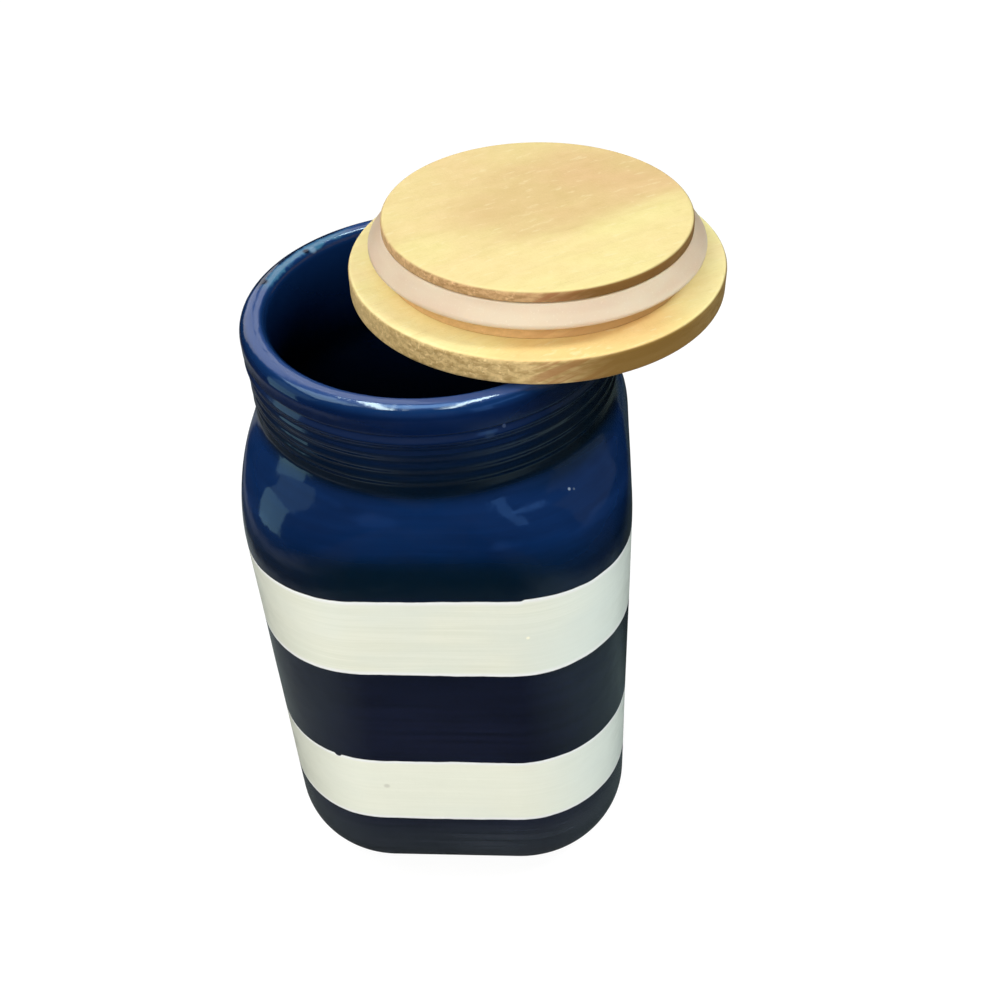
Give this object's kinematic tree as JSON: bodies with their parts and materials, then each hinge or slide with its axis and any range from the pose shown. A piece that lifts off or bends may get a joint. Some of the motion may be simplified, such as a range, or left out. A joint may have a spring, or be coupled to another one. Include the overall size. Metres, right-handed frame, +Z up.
{
  "type": "ceramic storage jar with wooden lid",
  "caption": "Glazed ceramic storage jar with a rounded-square striped body, a round ridged neck, and a wooden plug lid with a silicone seal lying upside down on the rim.",
  "frame": {"origin": "centre of the jar's flat base, on the axis of the jar", "axes": "+Z up along the jar's axis; +X and +Y square to the flats of the body, +Y to the back of the pictured view"},
  "size_m": [0.1216, 0.1036, 0.1936],
  "materials": {
    "glaze": "navy gloss glaze with two hand-painted off-white bands",
    "disc_wood": "pale turned wood, lightly oiled",
    "plug_wood": "pale turned wood, lightly oiled",
    "silicone": "translucent flesh-coloured silicone, satin"
  },
  "bodies": {
    "jar": {"jar_body": "glaze"},
    "lid": {"lid_disc": "disc_wood", "lid_plug": "plug_wood"},
    "seal": {"lid_seal": "silicone"}
  },
  "joints": [
    {"name": "lid_lift", "type": "slide", "parent": "jar", "child": "lid", "axis": [0, 0, 1], "range_m": [0, 0.12]},
    {"name": "seal_pull", "type": "slide", "parent": "lid", "child": "seal", "axis": [0.0209, 0, 0.9998], "range_m": [0, 0.03], "deforming": ["lid_seal"]}
  ]
}
